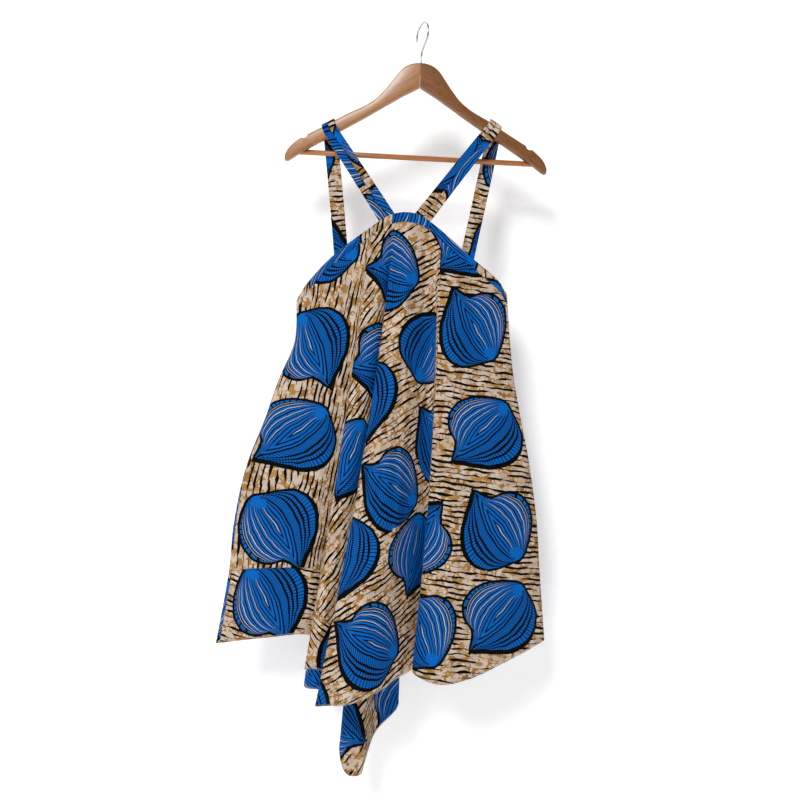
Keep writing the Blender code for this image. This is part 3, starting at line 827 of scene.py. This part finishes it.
BAND_STEPS = 26
SEAM_SINK = 0.7
band_span = [i for i, line in enumerate(front_lines) if line.band > 1.0]
band_lines = [front_lines[i] for i in band_span]
band_flat = [tuple(Matrix.Rotation(math.pi / 2, 2) @ end for end in front_flat[i]) for i in band_span]
band_rows, band_flat_rows = [], []
for step in range(BAND_STEPS + 1):
    downs = [1 - (1 - step / BAND_STEPS) * line.band / line.length() for line in band_lines]
    sink = SEAM_SINK * math.exp(-step)
    band_rows.append([line.at(down) + Vector((0, sink, 0)) for line, down in zip(band_lines, downs)])
    band_flat_rows.append([top.lerp(hem, down) for (top, hem), down in zip(band_flat, downs)])
band_centres = shell_centres(BAND_SHELLS, band_lines, band_flat)
band = cloth_piece("hem_band", band_rows, band_flat_rows, band_centres, cotton,
                   "wax_print_cotton", "front_hem_band")

# --------------------------------------------------
# Back panel: the same cloth, cut as a narrower flare that is deeper at the middle of its hem, where its
# corner hangs lowest as a tail. Its folds lie behind the front's, and part of it turns forward under the
# narrow fold.

BACK_EDGE = [
    Edge("left underarm", -188, SIDE_SEAM, -473),
    Edge("left armhole, low", -165, 6, -458),
    Edge("left strap", -119, 9, -442),
    Edge("centre", -12, 10, -446),
    Edge("right strap", 97, 9, -430),
    Edge("right armhole, low", 148, 6, -434),
    Edge("right underarm", 166, SIDE_SEAM, -446),
]
BACK_FOLDS = [
    Fold("left side seam", -188, -287, SIDE_SEAM, -1058, 0, 0, 0),
    Fold("left roll", -184, -293, 9, -1060, 0, 0, 0),
    Fold("left flat", -166, -257, 24, -1054, 0, 0, 0),
    Fold("left flare", -146, -212, 46, -1042, 0, 0, 0),
    Fold("left dip", -126, -172, 36, -1030, 0, 0, 4),
    Fold("under fold, in", -108, -122, 44, -1052, 0, 0, 0),
    Fold("under fold, behind", -96, -110, 36, -1088, 0, 0, 0),
    Fold("under fold, left edge", -86, -143, 21, -1127, 0, 0, 0),
    Fold("under fold, front", -76, -118, 12, -1131, 0, 0, 0),
    Fold("inner valley", -66, -94, 34, -1130, 0, 0, 5),
    Fold("behind the tail, in", -56, -62, 54, -1140, 0, 0, 0),
    Fold("behind the tail, out", -50, -60, 42, -1168, 0, 0, 0),
    Fold("tail, left edge", -44, -77, 27, -1232, 0, 0, 0),
    Fold("tail, corner left", -36, -64, 15, -1272, 0, 0, 0),
    Fold("tail, corner right", -26, -39, 17, -1275, 0, 0, 0),
    Fold("tail, valley", -18, -32, 28, -1256, 0, 0, 4),
    Fold("tail, right", -8, -16, 35, -1206, 0, 0, 0),
    Fold("tail, right edge", 8, 20, 31, -1158, 0, 0, 0),
    Fold("behind the tail, right", 32, 6, 54, -1126, 0, 0, 0),
    Fold("right flare", 62, 98, 69, -1082, 0, 0, 0),
    Fold("right dip", 92, 152, 36, -1068, 0, 0, 5),
    Fold("right flat", 124, 208, 28, -1046, 0, 0, 0),
    Fold("right roll", 160, 253, 10, -1030, 0, 0, 0),
    Fold("right side seam", 166, 260, SIDE_SEAM, -1024, 0, 0, 0),
]
BACK_CREASES = [
    Crease(2.4, 2.9, 0.2, 0.9, 0.5, 4),
    Crease(3.6, 3.3, 0.1, 0.6, 0.4, -3),
    Crease(12.5, 13.0, 0.2, 0.7, 0.8, 4),
    Crease(17.2, 17.6, 0.15, 0.8, 0.5, 5),
    Crease(18.5, 18.3, 0.4, 0.95, 0.4, -3),
    Crease(20.6, 21.0, 0.08, 0.5, 0.5, -4),
    Crease(21.7, 21.4, 0.3, 0.9, 0.4, 3),
]
BACK_SHELLS = [
    Shell("tail, right", 16.15, 1.01, 17.9, 0.955),
    Shell("under fold", 8.9, 1.03, 5.9, 0.98),
    Shell("tail, left", 13.0, 0.925, 10.2, 1.07),
]
SHELL_ROW, SHELL_COLUMN = 158.0, 166.0  # from one shell to the next, along and across the print's lines
back_lines = panel_lines(BACK_FOLDS, BACK_EDGE, BACK_CREASES)
back_flat = unroll(back_lines)
back_centres = shell_centres(BACK_SHELLS, back_lines, back_flat)
for column in range(-1, 8):
    for row in range(-5, 6):
        spot = Vector((column * SHELL_COLUMN + 40, row * SHELL_ROW - 60 + 79 * (column % 2)))
        if min((spot - centre).length for centre, turn in back_centres) > 2.2 * SHELL_SIZE:
            back_centres.append((spot, math.radians(-52 if (row + column) % 2 else -145)))
back = cloth_piece("back", *panel_rows(back_lines, back_flat), back_centres, cotton,
                   "wax_print_cotton", "back_panel")

# --------------------------------------------------
# Hems: each raw edge is overlocked with cream thread and left single. The thread is drawn 0.6 mm thick,
# coarser than it is.

THREAD = 0.3
OVERLOCK_PITCH = 1.4
OVERLOCK_DEPTH, OVERLOCK_DROP = 3.0, 0.4


def sewing_thread(name, colour):
    finish, tree, shader = new_material(name, Roughness=0.6, IOR=1.45)
    ply = noise(tree, put(tree, "TexCoord", output=3), 900.0, 1.0)
    tone = ramp(tree, ply, [(0.35, linear(colour)), (0.65, linear("F2E8DA"))])
    feed(shader, Base_Color=tone)
    return finish


def walk(route, pitch):
    """Even steps along a route: each point, and how far along it lies."""
    steps, left, gone = [], 0.0, 0.0
    for start, end in zip(route, route[1:]):
        span = (end - start).length
        while left <= span:
            steps.append((start.lerp(end, left / span), gone + left))
            left += pitch
        left -= span
        gone += span
    return steps


def overlock(name, lines, finish, node):
    """A thread that laces over a hem, from one face of the cloth round the edge to the other."""
    hem = [line.at(1.0) for line in lines]
    above = [line.at(1 - OVERLOCK_DEPTH / line.length()) for line in lines]
    route = []
    edge_points = walk(hem, OVERLOCK_PITCH)
    upper_points = walk(above, OVERLOCK_PITCH)
    count = min(len(edge_points), len(upper_points))
    for i in range(1, count - 1):
        edge_point = edge_points[i][0]
        upper = upper_points[round(i * (len(upper_points) - 1) / max(1, len(edge_points) - 1))][0]
        ahead = (edge_points[i + 1][0] - edge_points[i - 1][0]).normalized()
        out = ahead.cross(upper - edge_point).normalized() * (CLOTH / 2 + THREAD)
        shift = ahead * OVERLOCK_PITCH / 4
        low = edge_point + (edge_point - upper).normalized() * OVERLOCK_DROP
        route += [upper + out, low + shift, upper - out + shift * 2, low + shift * 3]
    return link_piece(name, tube(name, route, THREAD, sides=4), finish, "wax_print_cotton", node)


cream_thread = sewing_thread("cream polyester overlock thread", "D9CBB8")
front_overlock = overlock("front_overlock", front_lines, cream_thread, "front_panel")
back_overlock = overlock("back_overlock", back_lines, cream_thread, "back_panel")

# --------------------------------------------------
# Bindings: folded strips of the print that wrap the neck, the armholes and the back's top edge. They are
# 15 mm deep on the outer face and a little less inside.

BINDING_WIDTH = 15.0
BINDING_CLOTH = 0.8
BINDING_LIFT = CLOTH / 2 + BINDING_CLOTH / 2 + 0.12
# A strip's own shells: where along it and across it the centre lies, and where the tip points, in degrees.
StripShell = namedtuple("StripShell", "along across turn")


def binding(name, folds, edge, first, last, outward, shells, node):
    """A strip that starts low on the outer face, rolls over the top edge and ends inside."""
    count = round((last - first) * ACROSS)
    lines = [Line(folds, edge, [], first + (last - first) * i / count) for i in range(count + 1)]
    profile = [
        (15.0, 0.0), (14.6, 0.25), (13.0, 0.1), (11.5, 0.35), (8, 0.5), (4, 0.35), (1.2, 0.15), (0.2, -0.1),
    ]
    rows, flat_rows, gone = [], [], [0.0]
    for here, there in zip(lines, lines[1:]):
        gone.append(gone[-1] + (there.top - here.top).length)
    for down, swell in profile:
        lift = Vector((0, outward * (BINDING_LIFT + swell), 0))
        rows.append([line.at(down / line.length()) + lift for line in lines])
        flat_rows.append([Vector((s, BINDING_WIDTH - down)) for s in gone])
    for k in range(1, 6):
        angle = math.pi * k / 6
        lift = Vector((0, outward * BINDING_LIFT * math.cos(angle), BINDING_LIFT * math.sin(angle)))
        rows.append([line.at(0.0) + lift for line in lines])
        flat_rows.append([Vector((s, BINDING_WIDTH + BINDING_LIFT * angle)) for s in gone])
    for down in (0.3, 4.0, 8.0, 12.5):
        lift = Vector((0, -outward * BINDING_LIFT, 0))
        rows.append([line.at(down / line.length()) + lift for line in lines])
        flat_rows.append([Vector((s, BINDING_WIDTH + 4 + down)) for s in gone])
    centres = [(Vector((shell.along, shell.across)), math.radians(shell.turn)) for shell in shells]
    piece = cloth_piece(name, rows, flat_rows, centres, cotton, "wax_print_trim", node)
    piece.modifiers["wall"].thickness = BINDING_CLOTH * MM
    return piece


neck_from, neck_to, last_fold, clear = 9.0, 17.0, len(FRONT_FOLDS) - 1, 0.04
left_binding = binding(
    "left_armhole_edge", FRONT_FOLDS, FRONT_EDGE, 0, neck_from - clear, -1,
    [StripShell(98, -2, 205)], "left_armhole_binding")
neck_edge = binding(
    "neck_edge", FRONT_FOLDS, FRONT_EDGE, neck_from + clear, neck_to - clear, -1,
    [StripShell(24, 4, 75)], "neck_binding")
right_binding = binding(
    "right_armhole_edge", FRONT_FOLDS, FRONT_EDGE, neck_to + clear, last_fold, -1,
    [StripShell(42, 14, 180), StripShell(146, -48, 260)], "right_armhole_binding")
back_edge = binding(
    "back_edge", BACK_FOLDS, BACK_EDGE, 0, len(BACK_FOLDS) - 1, 1,
    [StripShell(70, 22, 200), StripShell(240, -10, 20)], "back_binding")

# --------------------------------------------------
# Straps: 24 mm tapes that widen towards the neck, each one strip of the print folded to its middle on the
# inner side. Each runs from the front's neck edge, over an arm of the hanger, to the back's top edge.

STRAP_WIDTH = 24.0
STRAP_FLARE, FLARE_LENGTH = 0.22, 190.0  # the tape widens by this share towards the neck
STRAP_STEPS = 150
Stop = namedtuple("Stop", "place x y z lean turn")
LEFT_STRAP = [
    Stop("behind the neck edge", -37.5, -11.4, -336, 35.8, 0),
    Stop("at the neck edge", -43.5, -11.6, -327, 35.8, 0),
    Stop("halfway", -98, -9.4, -251, 35.8, -3),
    Stop("below the arm", -137, -6.6, -197, 34, -8),
    Stop("front of the arm", -148, -4.6, -180, 31, -9),
    Stop("front of the top", -151.5, -2.4, -170.6, 29.5, -9),
    Stop("over the top", -151.5, 5, -167.9, 29.5, -9),
    Stop("back of the top", -150.5, 13.4, -170.8, 27, -9),
    Stop("back of the arm", -148, 16.4, -184, 18, -8),
    Stop("behind the bar", -143.5, 22.8, -216, 8.4, 0),
    Stop("halfway down", -131, 18, -300, 8.4, 0),
    Stop("at the back edge", -114.5, 7.4, -418, 8.4, 0),
    Stop("inside the back edge", -112, 5.4, -456, 8.4, 0),
]
RIGHT_STRAP = [
    Stop("behind the neck edge", 9.5, -11.4, -334, -35.0, 0),
    Stop("at the neck edge", 16, -11.6, -325, -35.0, 0),
    Stop("halfway", 72, -9.8, -245, -35.0, 3),
    Stop("below the arm", 115, -8.4, -184, -34, 7),
    Stop("front of the arm", 127, -7, -168, -32, 8),
    Stop("front of the top", 131.5, -4.8, -158.2, -29, 8),
    Stop("over the top", 132, 2.6, -155.4, -29, 8),
    Stop("back of the top", 131.5, 11, -158.2, -27, 8),
    Stop("back of the arm", 130, 14.4, -172, -18, 8),
    Stop("behind the bar", 124.5, 22.8, -214, -9.5, 0),
    Stop("halfway down", 112, 18, -290, -9.5, 0),
    Stop("at the back edge", 93, 7.4, -405, -9.5, 0),
    Stop("inside the back edge", 89.5, 5.4, -444, -9.5, 0),
]


def strap(name, stops, shells, node):
    """A folded tape along its stops. Half of its section is inner and outer: across and out, in mm."""
    keys = list(range(len(stops)))
    middles = [Vector((s.x, s.y, s.z)) for s in stops]
    places = [(len(stops) - 1) * step / STRAP_STEPS for step in range(STRAP_STEPS + 1)]
    route = [cubic(keys, middles, place) for place in places]
    inner = [
        (0.15, -0.25), (0.8, -0.9), (3, -1.05), (7, -1.05), (9.6, -1.0), (10.2, -0.72), (11.2, -0.7),
        (11.8, -0.35),
    ]
    outer = [(12.0, 0.0), (11.8, 0.45), (11.2, 0.75), (10.3, 0.72), (9.6, 0.95), (6, 1.08), (2, 1.05)]
    half = [(across, out, STRAP_WIDTH - across) for across, out in inner] + [(a, o, a) for a, o in outer]
    section = half + [(-across, out, -strip) for across, out, strip in reversed(half)]
    rows, flat_rows, gone = [], [], 0.0
    for i, (place, middle) in enumerate(zip(places, route)):
        lean = math.radians(cubic(keys, [s.lean for s in stops], place))
        turn = math.radians(cubic(keys, [s.turn for s in stops], place))
        level = Vector((math.cos(turn), math.sin(turn), 0)) * math.cos(lean)
        across_way = (level + Vector((0, 0, math.sin(lean)))).normalized()
        ahead = (route[min(i + 1, STRAP_STEPS)] - route[max(i - 1, 0)]).normalized()
        out_way = ahead.cross(across_way).normalized()
        if i:
            gone += (middle - route[i - 1]).length
        wide = 1 + STRAP_FLARE * max(0.0, 1 - gone / FLARE_LENGTH)
        ripple = 0.35 * math.sin(gone / 17.0) * math.sin(gone / 61.0 + 1)
        rows.append([middle + across_way * across * wide + out_way * (out + ripple * (1 - abs(across) / 12))
                     for across, out, strip in section])
        flat_rows.append([Vector((gone, strip * wide)) for across, out, strip in section])
    mesh = grid_mesh(name, rows)
    centres = [(Vector((shell.along, shell.across)), math.radians(shell.turn)) for shell in shells]
    write_print(mesh, [point for row in flat_rows for point in row], centres)
    return link_piece(name, mesh, cotton, "wax_print_trim", node), gone


left_tape, left_tape_length = strap("left_shoulder_strap", LEFT_STRAP, [
    StripShell(12, 22, 20), StripShell(146, -26, 240), StripShell(268, -58, 260), StripShell(425, -60, 80),
], "left_strap")
right_tape, right_tape_length = strap("right_shoulder_strap", RIGHT_STRAP, [
    StripShell(124, 6, 182), StripShell(283, 52, 20), StripShell(448, 62, 100),
], "right_strap")

# --------------------------------------------------
# Stage and camera: a pale wall close behind, a pale floor, soft light from the upper left, and a level
# view of the front with the camera rolled a few degrees.

VIEW_FAR, VIEW_SPAN, ROLL = 1450.0, 1352.0, math.radians(3.07)
VIEW_X, VIEW_Z = -4.9, -631.6
WALL_Y, FLOOR_Z = 122.0, -1480.0
WALL_HALF_WIDTH, WALL_TOP, FLOOR_FRONT = 4000.0, 2600.0, -5000.0
BACKLIGHT = 0.3  # the paper is lit from behind, so that it stays white behind the dress


def studio_paper(name, colour):
    finish, tree, shader = new_material(name, Roughness=0.9, IOR=1.4)
    place = put(tree, "TexCoord", output=3)
    fibres = noise(tree, place, 40.0, 3.0)
    tone = ramp(tree, fibres, [(0.3, linear(colour)), (0.7, linear("FFFFFF"))])
    feed(shader, Base_Color=tone)
    shader.inputs["Emission Color"].default_value = (1, 1, 1, 1)
    shader.inputs["Emission Strength"].default_value = BACKLIGHT
    # seen from behind, the paper is clear, so that the back of the dress shows through it
    behind = put(tree, "NewGeometry", output=6)
    clear = put(tree, "BsdfTransparent")
    one_sided = put(tree, "MixShader", {0: behind, 1: shader.outputs[0], 2: clear})
    tree.links.new(one_sided, tree.nodes["Material Output"].inputs["Surface"])
    return finish


def plane(name, corners, finish):
    mesh = bpy.data.meshes.new(name)
    mesh.from_pydata([tuple(Vector(c) * MM) for c in corners], [], [(0, 1, 2, 3)])
    mesh.materials.append(finish)
    made = bpy.data.objects.new(name, mesh)
    bpy.context.scene.collection.objects.link(made)


paper = studio_paper("matt white studio paper", "FBFBFB")
left_end, right_end = -WALL_HALF_WIDTH, WALL_HALF_WIDTH
foot = [(left_end, WALL_Y, FLOOR_Z), (right_end, WALL_Y, FLOOR_Z)]
plane("wall", foot + [(right_end, WALL_Y, WALL_TOP), (left_end, WALL_Y, WALL_TOP)], paper)
plane("floor", [(left_end, FLOOR_FRONT, FLOOR_Z), (right_end, FLOOR_FRONT, FLOOR_Z)] + foot[::-1], paper)


def area_light(name, place, target, size, power):
    lamp = bpy.data.lights.new(name, "AREA")
    lamp.energy, lamp.size = power, size
    made = bpy.data.objects.new(name, lamp)
    bpy.context.scene.collection.objects.link(made)
    made.location = Vector(place) * MM
    made.rotation_euler = (Vector(target) - Vector(place)).to_track_quat("-Z", "Y").to_euler()


area_light("window", (-1700, -4000, 2300), (0, 0, -650), 1.4, 160)
area_light("fill", (1300, -2600, -400), (0, 0, -700), 2.4, 3)
world = bpy.data.worlds.new("soft studio")
world.use_nodes = True
world.node_tree.nodes["Background"].inputs[0].default_value = (1, 1, 1, 1)
world.node_tree.nodes["Background"].inputs[1].default_value = 0.1
bpy.context.scene.world = world
bpy.context.scene.view_settings.view_transform = "Standard"

lens = bpy.data.cameras.new("camera")
lens.sensor_width = 36
lens.lens = 36 * VIEW_FAR / VIEW_SPAN
camera = bpy.data.objects.new("camera", lens)
bpy.context.scene.collection.objects.link(camera)
camera.location = Vector((VIEW_X, -VIEW_FAR, VIEW_Z)) * MM
camera.rotation_euler = (Matrix.Rotation(math.pi / 2, 3, "X") @ Matrix.Rotation(ROLL, 3, "Z")).to_euler()
bpy.context.scene.camera = camera
